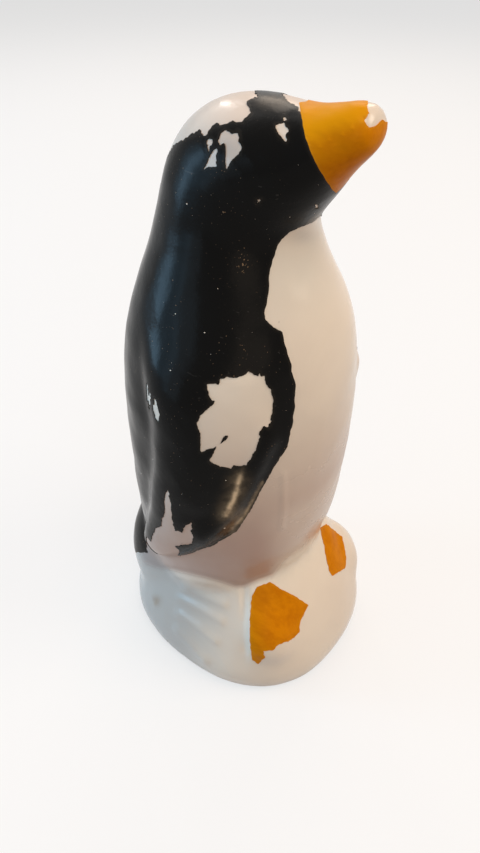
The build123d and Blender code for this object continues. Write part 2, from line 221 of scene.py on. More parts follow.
# A film of paint is this much thicker than what stands proud of the glaze, so that it sits in the glaze
PAINT_SUNK = 1.5

# Lines and spots where highlights and sheen are painted on the black paint, a rubbed spot at the chin, and
# where dust has stuck to it
WING_SHEEN = ((243, 466), (239, 480), (234, 498), (226, 514))
WING_RIM = ((262, 482), (255, 495), (244, 515), (232, 528))
HEAD_SHEEN, DUST_SPOT = (276, 99), (243, 261)
CHIN_RUB = (0.6, -12.4, 123.4)
# Strength and width of each painted highlight and of the chin's rub, in pixels but for the chin's, and the
# rows over which the roll's painted highlight begins
ROLL_SHEEN_WIDTH, ROLL_SHEEN_FADE, SHEEN_FLOOR = 2.3, (462, 490), 45
RIM_SHEEN, RIM_SHEEN_WIDTH = 0.42, 1.5
WING_GLOW, WING_GLOW_WIDTH = 0.2, 9.0
CHIN_RUB_STRENGTH, CHIN_RUB_WIDTH = 0.4, 1.9
HEAD_SHEEN_STRENGTH, HEAD_SHEEN_WIDTH = 0.1, (16.0, 7.0)
DUST_WIDTH, DUST_SPREAD, DUST_SPREAD_WIDTH = (8.0, 13.0), 0.2, 38.0
# Wear along an edge of paint in millimetres, and how level the beak's top is where it is painted lighter, as
# light from above would make it
EDGE_WEAR, LIT_TOP_LEVEL = (0.0, 0.7), (0.2, 0.85)
# A place where the glaze is stained, and places painted with shade at the temple and under the chin, with the
# width in pixels and the strength
MOUND_STAIN, MOUND_STAIN_WIDTH = (156, 601), 5.0
TEMPLE_SHADE, TEMPLE_SHADE_WIDTH, TEMPLE_SHADING = (226, 150), 17.0, 0.42
CHIN_SHADE, CHIN_SHADE_WIDTH, CHIN_SHADING = (303, 236), (12.0, 8.0), 0.34
# Darkening towards the foot and painted shade in creases: strength, the millimetres it fades over, and how
# the shade grows with the bend
FOOT_DARKENING, FOOT_DARKENING_Z, CREASE_GAIN, CREASE_FROM = 0.8, (2.2, 4.2), 9.0, 0.2
# Pixels each side of the mound's crease over which the painted shade of the belly stops
CREASE_BLUR = 3.5
# Painted shade low on the belly and on the mound's right side, and a darker tone on the crown: strengths, and
# the millimetres they fade over
BELLY_Z, BELLY_ABOVE_CREASE_Z, BELLY_ABOVE_MOUND_Z = (50, 98), (20, 26), (38, 44)
FRONT_PALER, FRONT_Y, FRONT_Z = 0.45, (15, 21), (58, 68)
CROWN_TONE, CROWN_Z, CROWN_Y = 0.34, (122, 128), (-12, -6)
MOUND_SHADE, MOUND_X, MOUND_Y, MOUND_Z = 0.62, (9, 22), (-15, 3), (26, 32)
# Fixed colours of dirt and wear
SPILL, DUST, SCRATCH = (0.26, 0.16, 0.08), (0.38, 0.25, 0.15), (0.22, 0.21, 0.20)
DULL_EDGE, THIN_ORANGE, GRIT = (0.05, 0.04, 0.03), (0.62, 0.27, 0.015), (0.66, 0.53, 0.40)

# Pinholes: seed, the most edge wear where they lie, how rare large ones are, and the least size and width
PINHOLE_SEED, PINHOLE_WEAR, PINHOLE_POWER, PINHOLE_LEAST, PINHOLE_NARROW = 11, 0.02, 5.0, 0.2, 0.7
PINHOLE_CONE = {"Vertices": 7, "Radius Top": 0.35, "Radius Bottom": 0.5, "Depth": 0.12}

# Stage, in metres: half width of the floor, colours of floor and table, and strengths of backdrop and room
FLOOR_HALF, FLOOR_PALE, TABLE_BROWN = 6.0, (0.82, 0.82, 0.82), (0.37, 0.29, 0.23)
WHITE, ROOM_COLOUR = (1.0, 1.0, 1.0), (0.97, 0.98, 1.0)
BACKDROP_SHARE, ROOM_LIGHT, ROOM_SHOWN = 0.66, 0.20, 0.70
# Lamps: name, place, width, height, watts and colour; all face one point in the figure
LAMP_TARGET = (0, 0, 0.07)
LAMPS = (
    ("window", (-0.50, 0.60, 0.27), 0.70, 0.50, 2.2, (0.30, 0.67, 1.0)),
    ("window strip", (-0.44, 0.65, 0.25), 0.20, 0.46, 2.0, (0.42, 0.72, 1.0)),
    ("side window", (-0.74, 0.30, 0.26), 0.35, 0.46, 0.75, (0.56, 0.80, 1.0)),
    ("key", (-0.20, -0.42, 0.88), 0.45, 0.45, 2.5, (1.0, 1.0, 0.93)),
    ("front lamp", (0.34, -0.60, 0.57), 0.40, 0.40, 2.5, (1.0, 0.86, 0.70)),
    ("low lamp", (-0.52, -0.56, 0.26), 0.40, 0.40, 0.7, (1.0, 0.80, 0.62)),
    ("ceiling", (0.10, -0.12, 1.05), 0.50, 0.50, 2.8, (1.0, 0.52, 0.22)),
    ("back lamp", (0.44, 0.59, 0.50), 0.09, 0.09, 0.4, (1.0, 0.95, 0.90)),
    ("right lamp", (0.62, 0.29, 0.57), 0.40, 0.40, 1.4, (1.0, 0.86, 0.72)),
    ("rear lamp", (0.16, 0.62, 0.62), 0.50, 0.50, 0.7, (1.0, 0.97, 0.93)),
)
# The camera's sensor in millimetres and the distances in metres between which it sees
SENSOR, CLIP_START, CLIP_END = 36.0, 0.01, 20.0


class GlazeSizes(bpy.types.PropertyGroup):
    """Sizes and colours of the white glaze and the clay under it."""

    mesh_step: FloatProperty(
        name="Mesh Step",
        description="Spacing of the points on the glaze",
        default=0.89 * MM,
        unit="LENGTH",
    )
    thickness: FloatProperty(
        name="Thickness",
        description="Thickness of the glaze",
        default=0.35 * MM,
        unit="LENGTH",
    )
    bare_band: FloatProperty(
        name="Bare Band",
        description="Height of the unglazed clay above the foot",
        default=1.7 * MM,
        unit="LENGTH",
    )
    flute_depth: FloatProperty(
        name="Flute Depth",
        description="Depth of the soft flutes on the mound",
        default=0.55 * MM,
        unit="LENGTH",
    )
    white: FloatVectorProperty(
        name="White",
        description="Colour of the glaze",
        default=(0.76, 0.685, 0.59),
        subtype="COLOR",
    )
    # Painted shade: the glaze turns towards this colour low on the belly, and also on the crown and in a
    # faint random tone
    shade_and_tone: FloatVectorProperty(
        name="Toned",
        description="Colour of the glaze where age has toned it",
        default=(0.41, 0.275, 0.225),
        subtype="COLOR",
    )
    # Painted shade: colour mixed into the glaze on the mound's right side, at the temple and under the chin
    shade_grey: FloatVectorProperty(
        name="Greyed",
        description="Colour of the glaze where it has greyed",
        default=(0.30, 0.30, 0.305),
        subtype="COLOR",
    )
    clay: FloatVectorProperty(
        name="Clay",
        description="Colour of the bare clay",
        default=(0.50, 0.37, 0.26),
        subtype="COLOR",
    )
    # Colour of the painted shade in creases, of the darkening towards the foot, of the iron specks and of the
    # clay's dirt
    shade_and_stain: FloatVectorProperty(
        name="Stain",
        description="Colour of the dirt on the foot",
        default=(0.12, 0.075, 0.045),
        subtype="COLOR",
    )


class PaintSizes(bpy.types.PropertyGroup):
    """Sizes and colours of the cold paint."""

    film: FloatProperty(
        name="Film",
        description="Thickness of the paint",
        default=0.14 * MM,
        unit="LENGTH",
    )
    black: FloatVectorProperty(
        name="Black",
        description="Colour of the black paint",
        default=(0.0042, 0.0039, 0.0036),
        subtype="COLOR",
    )
    # Painted highlight: colour laid on the black paint along the wing's roll and rim and on the head, and at
    # the rubbed chin
    sheen_and_wear: FloatVectorProperty(
        name="Rubbed",
        description="Colour of the black paint where it is rubbed thin",
        default=(0.60, 0.47, 0.32),
        subtype="COLOR",
    )
    orange: FloatVectorProperty(
        name="Orange",
        description="Colour of the orange paint",
        default=(0.65, 0.23, 0.003),
        subtype="COLOR",
    )
    burnt: FloatVectorProperty(
        name="Burnt Orange",
        description="Colour of the orange paint's darker strokes",
        default=(0.53, 0.165, 0.002),
        subtype="COLOR",
    )
    # Painted light: the lighter orange on the beak's upward faces
    faded: FloatVectorProperty(
        name="Faded Orange",
        description="Colour of the orange paint on top of the beak",
        default=(0.74, 0.32, 0.004),
        subtype="COLOR",
    )
    speck_count: IntProperty(
        name="Specks",
        description="Pinholes for each square metre of black paint",
        default=16000,
    )
    speck_size: FloatProperty(
        name="Speck Size",
        description="Largest pinhole across",
        default=0.42 * MM,
        unit="LENGTH",
    )


class Wire:
    """A socket of a node tree that can stand in a sum."""

    def __init__(self, sheet, socket):
        self.sheet, self.socket = sheet, socket

    def _sum(self, operation, first, second):
        return self.sheet.node("ShaderNodeMath", {"operation": operation}, {0: first, 1: second})

    def __add__(self, other):
        return self._sum("ADD", self, other)

    __radd__ = __add__

    def __sub__(self, other):
        return self._sum("SUBTRACT", self, other)

    def __rsub__(self, other):
        return self._sum("SUBTRACT", other, self)

    def __mul__(self, other):
        return self._sum("MULTIPLY", self, other)

    __rmul__ = __mul__

    def other(self, key):
        """Another output of the same node."""
        return Wire(self.sheet, self.socket.node.outputs[key])


class Sheet:
    """A node tree; its node method adds every node."""

    def __init__(self, tree, prefix):
        self.tree, self.prefix = tree, prefix

    def node(self, kind, settings=None, inputs=None, output=0):
        """Adds a node: its settings first, then its sockets' values, links or lists of links."""
        name = kind if kind.startswith(("Shader", "Geometry", "Node", "Function")) else self.prefix + kind
        node = self.tree.nodes.new(name)
        for key, value in (settings or {}).items():
            setattr(node, key, value)
        for key, value in (inputs or {}).items():
            socket = node.inputs[key]
            for one in value if isinstance(value, list) else [value]:
                if isinstance(one, Wire):
                    self.tree.links.new(one.socket, socket)
                else:
                    socket.default_value = one
        return Wire(self, node.outputs[output]) if len(node.outputs) else node

    def mix(self, factor, first, second):
        """A colour between two colours."""
        inputs = {0: factor, 6: first, 7: second}
        return self.node("ShaderNodeMix", {"data_type": "RGBA"}, inputs, output=2)

    def place(self):
        """The piece's own coordinates."""
        return self.node("TexCoord", output=3)

    def attribute(self, name):
        """A number that the piece's mesh holds for each point."""
        return self.node("Attribute", {"attribute_name": name}, output=2)

    def noise(self, place, scale, detail=3.0, roughness=0.5):
        """Soft noise with so many features in a metre."""
        inputs = {"Vector": place, "Scale": scale, "Detail": detail, "Roughness": roughness}
        return self.node("TexNoise", None, inputs)

    def ramp(self, value, low, high):
        """Rises from 0 at low to 1 at high."""
        inputs = {"Value": value, "From Min": low, "From Max": high}
        return self.node("MapRange", {"interpolation_type": "SMOOTHSTEP"}, inputs)

    def bump(self, height, strength, distance):
        """Fine relief of the surface, with its depth in metres."""
        return self.node("Bump", None, {"Strength": strength, "Distance": distance, "Height": height})


def rgba(colour):
    """A colour with full cover."""
    return (*colour, 1.0)


def finish_material(name, build):
    """A new node material whose sheet is filled by build and ends in its shader."""
    material = bpy.data.materials.new(name)
    material.use_nodes = True
    material.node_tree.nodes.clear()
    sheet = Sheet(material.node_tree, "ShaderNode")
    shader = build(sheet)
    sheet.node("ShaderNodeOutputMaterial", None, {"Surface": shader})
    return material


def glaze_material(sizes):
    """Glossy warm white glaze with a few iron specks and a stain; painted shade low on the belly, on the
    mound, at the temple, under the chin and in the creases; darker on the crown and towards the foot.
    """

    def build(sheet):
        place = sheet.place()
        cloud = sheet.noise(place, scale=38.0)
        mottle = sheet.noise(place, scale=210.0, detail=4.0)
        iron = sheet.ramp(sheet.noise(place, scale=430.0, detail=1.0), 0.80, 0.83)
        drift = sheet.ramp(cloud, 0.35, 0.68)
        crease, shade_tone = sheet.attribute("crease"), sheet.attribute("toning")
        soiled, painted_grey = sheet.attribute("soiled"), sheet.attribute("greying")
        # Painted shade low on the belly, less at the front, and a darker tone on the crown, over a faint
        # random tone
        colour = sheet.mix(drift * 0.1 + shade_tone * 0.88, rgba(sizes.white), rgba(sizes.shade_and_tone))
        # Painted shade on the mound's right side, at the temple and under the chin
        colour = sheet.mix(painted_grey, colour, rgba(sizes.shade_grey))
        colour = sheet.mix(soiled * sheet.ramp(mottle, 0.3, 0.6) * 0.6, colour, rgba(SPILL))
        # Painted shade in creases, and darker towards the foot
        colour = sheet.mix(crease * sheet.ramp(mottle, 0.25, 0.65) * 0.75, colour, rgba(sizes.shade_and_stain))
        colour = sheet.mix(iron * 0.35, colour, rgba(sizes.shade_and_stain))
        bump = sheet.bump(mottle + cloud * 2.0, strength=0.12, distance=0.3 * MM)
        inputs = {
            "Base Color": colour,
            "Roughness": mottle * 0.1 + 0.15 + crease * 0.3 + shade_tone * 0.14,
            "IOR": 1.5,
            "Normal": bump,
        }
        return sheet.node("BsdfPrincipled", None, inputs)

    return finish_material("white_glaze", build)


def black_material(sizes):
    """Glossy black enamel with dust specks, fine scratches and dulled edges, painted highlights on the wing's
    roll and rim and on the head, and a rubbed chin.
    """

    def build(sheet):
        place = sheet.place()
        cloud = sheet.noise(place, scale=55.0)
        grain = sheet.noise(place, scale=900.0, detail=4.0)
        patch = sheet.ramp(sheet.noise(place, scale=90.0, detail=2.0), 0.42, 0.62)
        worn, rub, dusty = sheet.attribute("edge"), sheet.attribute("rub"), sheet.attribute("dusty")
        dust = sheet.ramp(sheet.noise(place, scale=2300.0, detail=1.0) + dusty * 0.14, 0.735, 0.775)
        streak = sheet.ramp(sheet.noise(place, scale=520.0), 0.34, 0.6)
        turned = {"Vector": place, "Rotation": (0.3, 0.5, 0.2), "Scale": (1.0, 0.05, 1.0)}
        stretched = sheet.node("Mapping", None, turned)
        scratch = sheet.ramp(sheet.noise(stretched, scale=1900.0, detail=1.0), 0.72, 0.78)
        colour = sheet.mix(dust * (patch * 0.4 + dusty * 0.6), rgba(sizes.black), rgba(DUST))
        colour = sheet.mix(scratch * patch * 0.12, colour, rgba(SCRATCH))
        colour = sheet.mix(worn * 0.2, colour, rgba(DULL_EDGE))
        # Painted highlight and reflection along the wing's roll and rim, painted sheen on the head, and a
        # rubbed spot at the chin
        colour = sheet.mix(rub * (streak * 0.5 + 0.5), colour, rgba(sizes.sheen_and_wear))
        bump = sheet.bump(grain + cloud * 3.0, strength=0.14, distance=0.2 * MM)
        inputs = {
            "Base Color": colour,
            "Roughness": sheet.ramp(cloud, 0.3, 0.7) * 0.08 + dust * 0.2 + worn * 0.1 + 0.17,
            "Specular IOR Level": 0.07,
            "Normal": bump,
        }
        return sheet.node("BsdfPrincipled", None, inputs)

    return finish_material("black_enamel", build)


def orange_material(sizes):
    """Glossy orange enamel laid on with a brush, in strokes along the beak, painted lighter on the beak's top
    as if lit from above.
    """

    def build(sheet):
        place = sheet.place()
        turned = {"Vector": place, "Rotation": (0.25, 0.0, 0.0), "Scale": (1.0, 0.12, 1.0)}
        stroke = sheet.noise(sheet.node("Mapping", None, turned), scale=520.0, roughness=0.6)
        cloud = sheet.noise(place, scale=120.0)
        worn, faded = sheet.attribute("edge"), sheet.attribute("faded")
        darker = sheet.ramp(stroke * 0.55 + cloud * 0.45, 0.36, 0.68)
        colour = sheet.mix(darker, rgba(sizes.orange), rgba(sizes.burnt))
        # Painted light: lighter on the beak's upward faces
        colour = sheet.mix(faded * 0.75, colour, rgba(sizes.faded))
        colour = sheet.mix(worn * 0.3, colour, rgba(THIN_ORANGE))
        bump = sheet.bump(stroke, strength=0.2, distance=0.25 * MM)
        inputs = {
            "Base Color": colour,
            "Roughness": cloud * 0.1 + worn * 0.15 + 0.24,
            "Specular IOR Level": 0.025,
            "Normal": bump,
        }
        return sheet.node("BsdfPrincipled", None, inputs)

    return finish_material("orange_enamel", build)


def clay_material(sizes):
    """Bare fired clay: matt, grainy, with random dirt, and darker towards the foot."""

    def build(sheet):
        place = sheet.place()
        grain = sheet.noise(place, scale=1400.0, detail=5.0, roughness=0.65)
        cloud = sheet.noise(place, scale=120.0)
        height = sheet.node("ShaderNodeSeparateXYZ", None, {"Vector": place}, output=2)
        # Darker towards the foot, with random dirt over it
        dark_foot_and_dirt = (1.0 - sheet.ramp(height, 0.0, 1.6 * MM)) * 0.8 + sheet.ramp(cloud, 0.42, 0.62) * 0.35
        colour = sheet.mix(dark_foot_and_dirt, rgba(sizes.clay), rgba(sizes.shade_and_stain))
        colour = sheet.mix(sheet.ramp(grain, 0.55, 0.7) * 0.4, colour, rgba(GRIT))
        bump = sheet.bump(grain, strength=0.5, distance=0.3 * MM)
        inputs = {"Base Color": colour, "Roughness": grain * 0.2 + 0.72, "Normal": bump}
        return sheet.node("BsdfPrincipled", None, inputs)

    return finish_material("bare_clay", build)


def photo_camera():
    """Place in millimetres and the right, up and forward directions of the photograph's camera."""
    look, pitch, roll = (math.radians(a) for a in (CAMERA_LOOK, CAMERA_PITCH, CAMERA_ROLL))
    ahead = np.array([-math.sin(look) * math.cos(pitch), math.cos(look) * math.cos(pitch), -math.sin(pitch)])
    level = np.array([math.cos(look), math.sin(look), 0.0])
    upright = np.cross(level, ahead)
    right = math.cos(roll) * level + math.sin(roll) * upright
    up = math.cos(roll) * upright - math.sin(roll) * level
    return np.array(CAMERA_PLACE), right, up, ahead


def seen(points, normals):
    """Pixels of points in millimetres, millimetres to a pixel, and how squarely they face the camera."""
    place, right, up, ahead = photo_camera()
    rays = points - place
    depth = rays @ ahead
    pixels = np.stack([FRAME_WIDTH / 2 + FOCAL_PIXELS * (rays @ right) / depth,
                       FRAME_HEIGHT / 2 - FOCAL_PIXELS * (rays @ up) / depth], 1)
    facing = -np.sum(rays * normals, 1) / np.linalg.norm(rays, axis=1)
    return pixels, depth / FOCAL_PIXELS, facing


def along_line(points, line):
    """Distance of plane points from an open line."""
    corners = np.array(line, float)
    nearest = np.full(len(points), np.inf)
    for start, end in zip(corners, corners[1:]):
        run = end - start
        share = np.clip((points - start) @ run / (run @ run), 0, 1)
        gap = points - start - share[:, None] * run
        nearest = np.minimum(nearest, np.hypot(gap[:, 0], gap[:, 1]))
    return nearest


def inside(points, outline):
    """Distance of plane points from a closed outline, positive inside it."""
    closed = (*outline, outline[0])
    within = np.zeros(len(points), bool)
    for (x, y), (end_x, end_y) in zip(closed, closed[1:]):
        spans = (y > points[:, 1]) != (end_y > points[:, 1])
        rise = (end_y - y) or 1.0
        within ^= spans & (points[:, 0] < x + (points[:, 1] - y) * (end_x - x) / rise)
    nearest = along_line(points, closed)
    return np.where(within, nearest, -nearest)


def bank(pixels, line, width):
    """Fades from 1 on a line to 0 beside it."""
    return np.exp(-((along_line(pixels, line) / width) ** 2))


def ease(values, low, high):
    """Rises smoothly from 0 at low to 1 at high."""
    t = np.clip((values - low) / (high - low), 0, 1)
    return t * t * (3 - 2 * t)


def ripple(points, wavelength, seed, waves=18):
    """Smooth fixed unevenness of about unit height."""
    chance = np.random.RandomState(seed)
    ways = chance.normal(size=(waves, 3))
    turns = (2 * math.pi / wavelength) * chance.uniform(0.6, 1.5, (waves, 1))
    ways *= turns / np.linalg.norm(ways, axis=1)[:, None]
    starts = chance.uniform(0, 2 * math.pi, waves)
    return np.sin(points @ ways.T + starts).sum(1) / math.sqrt(waves / 2)


def unevenness(points, ripples):
    """Several ripples laid over each other."""
    return sum(height * ripple(points, wavelength, seed) for height, wavelength, seed in ripples)


def right_side(points, normals):
    """The same points folded over to the bird's right side."""
    fold = np.where(points[:, :1] > 0, -1.0, 1.0) * np.array([[1.0, 0, 0]]) + np.array([[0, 1.0, 1.0]])
    return points * fold, normals * fold


def shared_edge(points, normals, outline, side):
    """Distance inside a region that both sides share, from the photograph where it shows."""
    points, normals = right_side(points, normals)
    pixels, scale, facing = seen(points, normals)
    weight = ease(facing, *EDGE_SEEN)
    return weight * inside(pixels, outline) * scale + (1 - weight) * inside(points[:, 1:], side)


def chip(points, normals, outline, hidden=None):
    """Distance inside a bare place that the photograph shows."""
    pixels, scale, facing = seen(points, normals)
    weight = ease(facing, *CHIP_SEEN) * (points[:, 0] < RIGHT_CHIPS_UP_TO)
    hidden = np.full(len(points), OUTSIDE_CHIP) if hidden is None else hidden
    return weight * inside(pixels, outline) * scale + (1 - weight) * hidden


def blob(points, middle, radii):
    """Distance inside a rough oval patch round a place on the shape."""
    gap = (points - np.array(middle)) / np.array(radii)
    return (1 - np.linalg.norm(gap, axis=1)) * min(radii)


def bare_places(points, normals):
    """Distance inside any of the chips of the black paint."""
    crumble = unevenness(points, CHIP_RIPPLES)
    crown = np.maximum(blob(points, *CROWN_PATCH), blob(points, *NAPE_PATCH))
    crown = crown + unevenness(points, CROWN_RIPPLES) + crumble
    brow = blob(points, *BROW_PATCH)
    chips = [chip(points, normals, CROWN_CHIP, crown), chip(points, normals, BROW_CHIP, brow)]
    chips = [np.where(points[:, 2] > CROWN_FLOOR, bare, OUTSIDE_CHIP) for bare in chips]
    chips.append(chip(points, normals, WING_TIP_CHIP, blob(points, *WING_TIP_PATCH)))
    for outline in (WING_CHIP, TEMPLE_CHIP, CHEEK_CHIP, NAPE_CHIP, EYE_CHIP, EYE_SPECK, *SPECKS):
        chips.append(chip(points, normals, outline))
    for outline in BACK_CHIPS:
        chips.append(np.where(normals[:, 1] > BACK_FACING, inside(points[:, ::2], outline), OUTSIDE_CHIP))
    for outline in LEFT_CHIPS:
        chips.append(np.where(normals[:, 0] > LEFT_FACING, inside(points[:, 1:], outline), OUTSIDE_CHIP))
    return np.max(chips, 0) + crumble


def paint_fields(points, normals):
    """For each coat of paint, the distance inside it at each point."""
    wobble = unevenness(points, EDGE_RIPPLES)
    x, _, z = points.T
    wider = BIB_SHIFT * ease(x, *BIB_SHIFT_X) * ease(z, *BIB_SHIFT_CHEST) * (1 - ease(z, *BIB_SHIFT_CHIN))
    white = shared_edge(points, normals, BIB_OUTLINE, BIB_SIDE) + wobble + wider
    beak = shared_edge(points, normals, BEAK_OUTLINE, BEAK_SIDE) + 0.6 * wobble
    beak = beak + BEAK_SHIFT * ease(x, *BEAK_SHIFT_X) * ease(z, *BEAK_SHIFT_Z)
    beak = np.where(z > BEAK_FLOOR, beak, OUTSIDE_COAT)
    bare = bare_places(points, normals)
    crumble = unevenness(points, FLAKE_RIPPLES)
    flakes = chip(points, normals, WING_FLAKE) + 0.5 * crumble
    low = z < FOOT_CEILING
    right_foot = np.where(low, chip(points, normals, RIGHT_FOOT) + crumble, OUTSIDE_COAT)
    pixels, scale, facing = seen(points, normals)
    weight = ease(facing, *CHIP_SEEN)
    left_foot = weight * inside(pixels, LEFT_FOOT) * scale + (1 - weight) * blob(points, *LEFT_FOOT_PATCH)
    left_foot = np.where(low & (x > LEFT_FOOT_FROM), left_foot + crumble, OUTSIDE_COAT)
    tip = chip(points, normals, BEAK_TIP_CHIP, blob(points, *BEAK_TIP_PATCH)) + 0.5 * crumble
    return {
        "black_coat": -np.maximum(np.maximum(white, beak), bare),
        "black_flakes": np.where(z < FLAKE_CEILING, flakes, OUTSIDE_COAT),
        "beak_coat": np.minimum(beak, -tip),
        "right_foot_coat": right_foot,
        "left_foot_coat": left_foot,
    }


def spot(points, normals, place, width):
    """Fades out round a pixel of the photograph, on the side that it shows."""
    pixels, _, facing = seen(points, normals)
    return np.exp(-np.sum(((pixels - place) / width) ** 2, 1)) * ease(facing, *SPOT_SEEN)


def sheen_and_wear(points, normals):
    """Where highlights and a glow are painted on the black paint along the wing's rolled edge and rim, and a
    sheen on the head, with a rubbed spot at the chin.
    """
    side, facing = right_side(points, normals)
    pixels, _, square = seen(side, facing)
    roll = bank(pixels, WING_SHEEN, ROLL_SHEEN_WIDTH) * ease(pixels[:, 1], *ROLL_SHEEN_FADE)
    rim = RIM_SHEEN * bank(pixels, WING_RIM, RIM_SHEEN_WIDTH)
    glow = WING_GLOW * bank(pixels, WING_SHEEN[1:] + WING_RIM[2:], WING_GLOW_WIDTH)
    wing = np.clip(roll + rim + glow, 0, 1) * ease(square, *SHEEN_SEEN) * (side[:, 2] > SHEEN_FLOOR)
    chin = CHIN_RUB_STRENGTH * np.exp(-np.sum(((points - CHIN_RUB) / CHIN_RUB_WIDTH) ** 2, 1))
    head = HEAD_SHEEN_STRENGTH * spot(points, normals, HEAD_SHEEN, HEAD_SHEEN_WIDTH)
    return np.maximum(wing, head + chin)


def face_normals(points, faces):
    """Normals of triangles, as long as twice their area."""
    a, b, c = (points[faces[:, i]] for i in range(3))
    return np.cross(b - a, c - a)


def point_normals(points, faces):
    """Unit normals of points."""
    normals = np.zeros_like(points)
    flat = face_normals(points, faces)
    for i in range(3):
        for axis in range(3):
            normals[:, axis] += np.bincount(faces[:, i], flat[:, axis], len(points))
    return normals / np.maximum(np.linalg.norm(normals, axis=1)[:, None], 1e-12)


def neighbour_means(points, edges):
    """Mean of each point's neighbours."""
    count = np.bincount(edges.ravel(), minlength=len(points))
    means = np.empty_like(points)
    for axis in range(points.shape[1]):
        total = np.bincount(edges[:, 0], points[edges[:, 1], axis], len(points))
        total += np.bincount(edges[:, 1], points[edges[:, 0], axis], len(points))
        means[:, axis] = total / np.maximum(count, 1)
    return means


def edges_of(faces):
    """Every edge once, and each face's three edge numbers."""
    pairs = np.sort(faces[:, [0, 1, 1, 2, 2, 0]].reshape(-1, 2), 1)
    edges, numbers = np.unique(pairs, axis=0, return_inverse=True)
    return edges, numbers.reshape(-1, 3)


def split_near(points, faces, normals, close):
    """Halves the edges of every face that is close to an edge of the paint."""
    edges, numbers = edges_of(faces)
    marked = np.zeros(len(edges), bool)
    marked[numbers[close].ravel()] = True
    middle = np.cumsum(marked) - 1 + len(points)
    new_points = points[edges[marked]].mean(1)
    new_normals = normals[edges[marked]].sum(1)
    new_normals /= np.linalg.norm(new_normals, axis=1)[:, None]
    pieces = [faces[~marked[numbers].any(1)]]
    for pattern in range(1, 8):
        cut = [bool(pattern & 1), bool(pattern & 2), bool(pattern & 4)]
        rows = (marked[numbers] == cut).all(1)
        corners, halves = faces[rows], middle[numbers[rows]]
        loop = []
        for i in range(3):
            loop.append(corners[:, i])
            if cut[i]:
                loop.append(halves[:, i])
        if sum(cut) == 3:
            fans = [(0, 1, 5), (1, 2, 3), (3, 4, 5), (1, 3, 5)]
        else:
            first, count = cut.index(True) + 1, len(loop)
            fans = [(first, (first + k) % count, (first + k + 1) % count) for k in range(1, count - 1)]
        pieces.extend(np.stack([loop[k] for k in fan], 1) for fan in fans)
    return np.vstack([points, new_points]), np.vstack(pieces), np.vstack([normals, new_normals])


def cut_patch(points, faces, field):
    """The part of a mesh where the field is positive, cut along the line where it is zero."""
    field = np.where(np.abs(field) < LEAST_FIELD, LEAST_FIELD, field)
    keep = field > 0
    edges, numbers = edges_of(faces)
    crossed = keep[edges[:, 0]] != keep[edges[:, 1]]
    middle = np.cumsum(crossed) - 1 + len(points)
    start, end = edges[crossed].T
    share = field[start] / (field[start] - field[end])
    share = np.clip(share, LEAST_SHARE, 1 - LEAST_SHARE)
    new_points = points[start] + share[:, None] * (points[end] - points[start])
    count = keep[faces].sum(1)
    pieces = [faces[count == 3]]
    for i in range(3):
        j, k = (i + 1) % 3, (i + 2) % 3
        alone = (count == 1) & keep[faces[:, i]]
        pieces.append(np.stack([faces[alone, i], middle[numbers[alone, i]], middle[numbers[alone, k]]], 1))
        pair = (count == 2) & ~keep[faces[:, i]]
        a, b = middle[numbers[pair, i]], middle[numbers[pair, k]]
        pieces.append(np.stack([a, faces[pair, j], faces[pair, k]], 1))
        pieces.append(np.stack([a, faces[pair, k], b], 1))
    faces = np.vstack(pieces)
    used, faces = np.unique(faces, return_inverse=True)
    at_edge = np.zeros(len(points) + len(new_points), bool)
    at_edge[len(points):] = True
    return np.vstack([points, new_points])[used], faces.reshape(-1, 3), used, at_edge[used]


def mesh_arrays(mesh):
    """Points in millimetres and triangles of a mesh."""
    points = np.empty(len(mesh.vertices) * 3)
    mesh.vertices.foreach_get("co", points)
    mesh.calc_loop_triangles()
    faces = np.empty(len(mesh.loop_triangles) * 3, np.int64)
    mesh.loop_triangles.foreach_get("vertices", faces)
    return points.reshape(-1, 3) / MM, faces.reshape(-1, 3)


def new_object(name, points, faces):
    """A mesh object from points in millimetres, shaded smooth."""
    mesh = bpy.data.meshes.new(name)
    mesh.from_pydata((points * MM).tolist(), [], faces.tolist())
    mesh.shade_smooth()
    thing = bpy.data.objects.new(name, mesh)
    bpy.context.scene.collection.objects.link(thing)
    return thing


def give(mesh, name, values):
    """Stores one number for each point of a mesh."""
    attribute = mesh.attributes.new(name, "FLOAT", "POINT")
    attribute.data.foreach_set("value", np.asarray(values, np.float32))


def baked(thing):
    """Turns an object's modifiers into a plain mesh of its own."""
    bpy.context.view_layer.update()
    evaluated = thing.evaluated_get(bpy.context.evaluated_depsgraph_get())
    mesh = bpy.data.meshes.new_from_object(evaluated)
    thing.modifiers.clear()
    old, thing.data = thing.data, mesh
    bpy.data.meshes.remove(old)
    mesh.name = thing.name
    return thing


def cad_copy(*nodes):
    """One merged mesh of copies of CAD nodes, with the pour hole stopped."""
    form = bmesh.new()
    for node in nodes:
        form.from_mesh(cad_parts[node].data)
    bmesh.ops.remove_doubles(form, verts=form.verts, dist=MERGE_DISTANCE)
    middle = Matrix.Translation((0, 0, STOPPER_HEIGHT * MM))
    stopper = {"radius": STOPPER_RADIUS * MM, "segments": STOPPER_SIDES, "matrix": middle}
    bmesh.ops.create_circle(form, cap_ends=True, **stopper)
    mesh = bpy.data.meshes.new("casting_copy")
    form.to_mesh(mesh)
    form.free()
    return mesh


